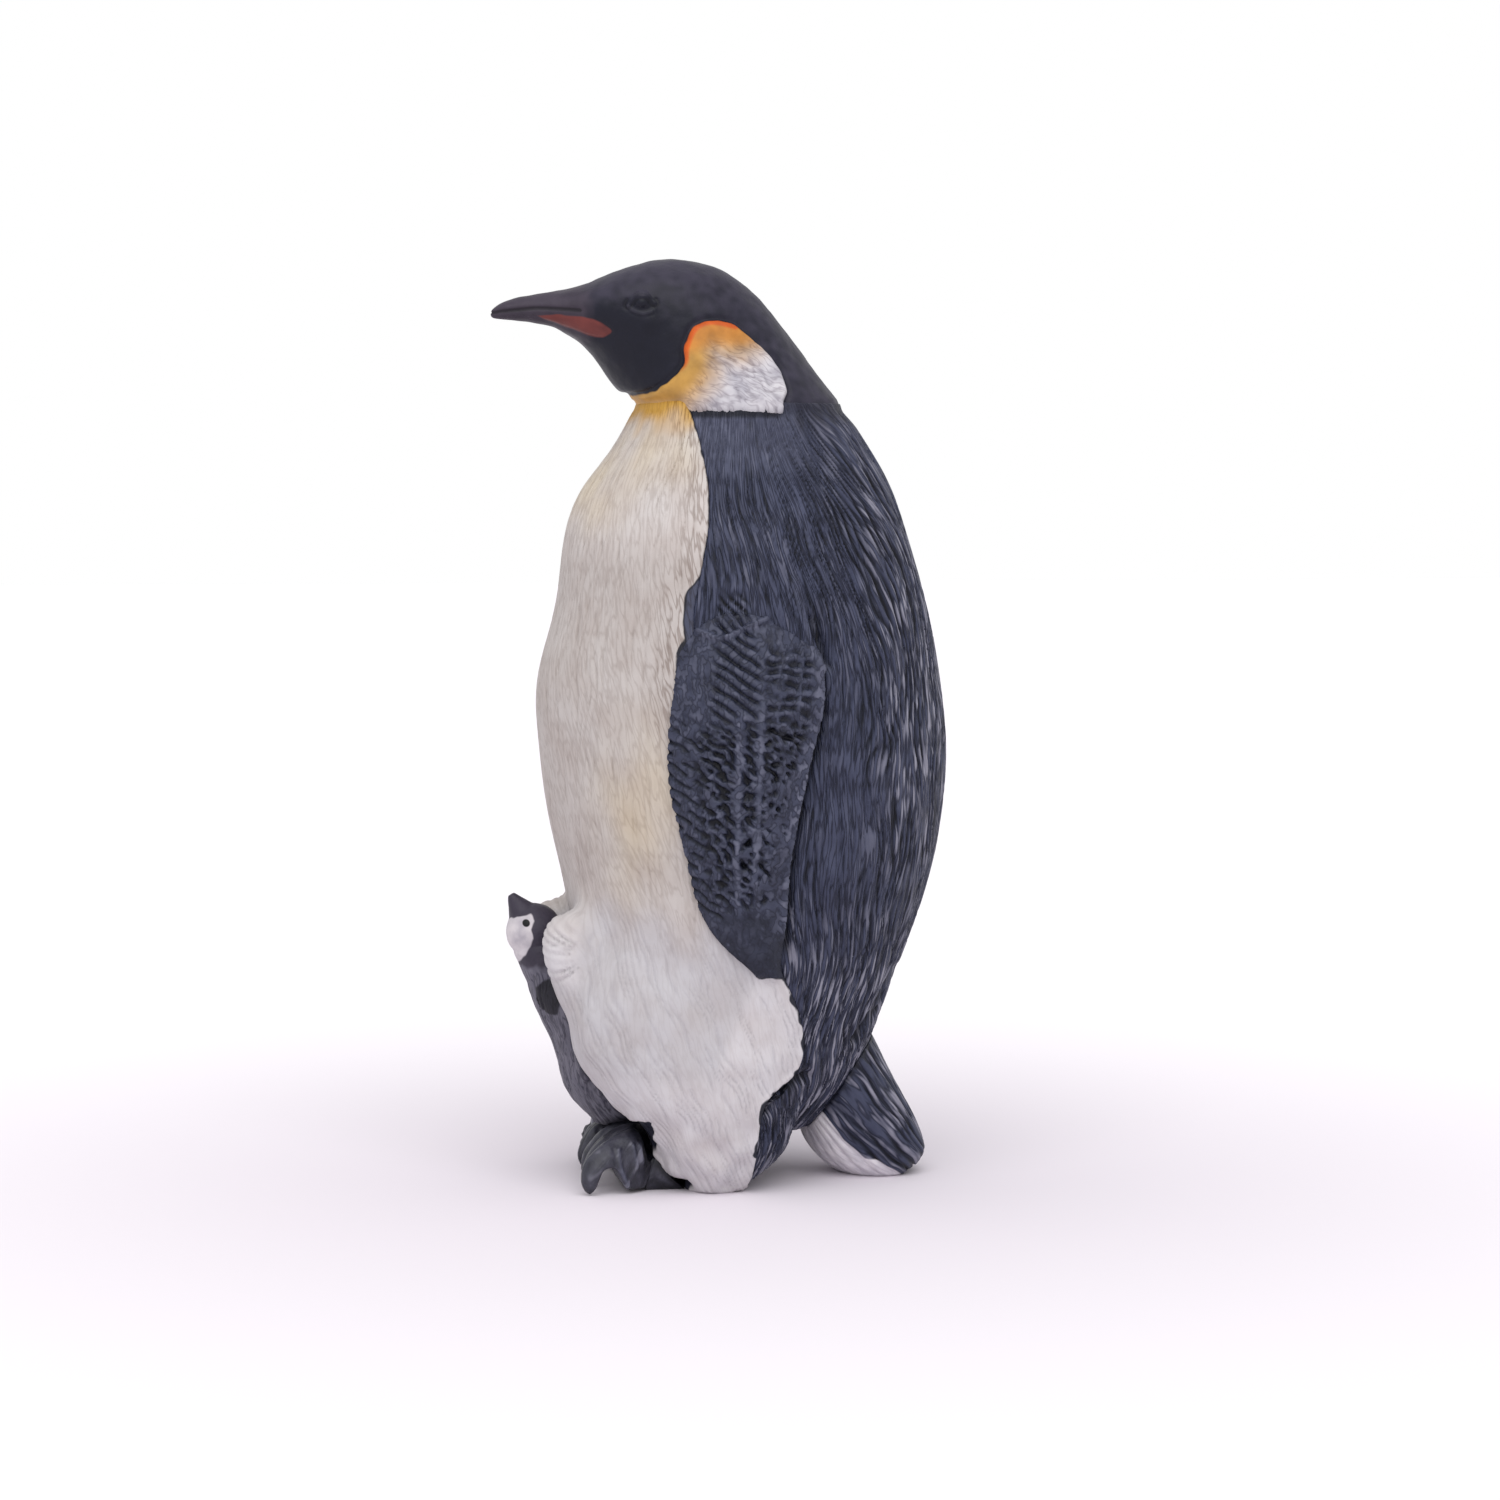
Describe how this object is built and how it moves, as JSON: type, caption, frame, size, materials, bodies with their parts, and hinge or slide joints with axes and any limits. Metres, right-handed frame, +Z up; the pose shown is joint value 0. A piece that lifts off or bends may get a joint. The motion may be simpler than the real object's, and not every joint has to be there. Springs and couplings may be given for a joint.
{
  "type": "penguin figurine",
  "caption": "Standing adult penguin figurine with a chick on its feet, moulded and hand painted, with feathered back, flippers at the sides and a tail that rests on the floor.",
  "frame": {"origin": "middle of the bounding box at the floor", "axes": "+Z up, -Y the way the penguin faces, +X towards its left flipper"},
  "size_m": [0.0406, 0.045, 0.0899],
  "materials": {
    "pale_plumage": "matt paint with grey wash",
    "dark_plumage": "matt paint, dry brushed",
    "head_plumage": "satin paint with an orange and yellow ear patch",
    "feet": "satin paint",
    "chick_down": "matt paint with a white face and a black cap"
  },
  "bodies": {
    "root": {"belly_half": "pale_plumage", "back_half": "dark_plumage", "head": "head_plumage", "left_flipper": "dark_plumage", "right_flipper": "dark_plumage", "tail": "dark_plumage", "left_foot": "feet", "right_foot": "feet", "chick": "chick_down"}
  },
  "joints": []
}
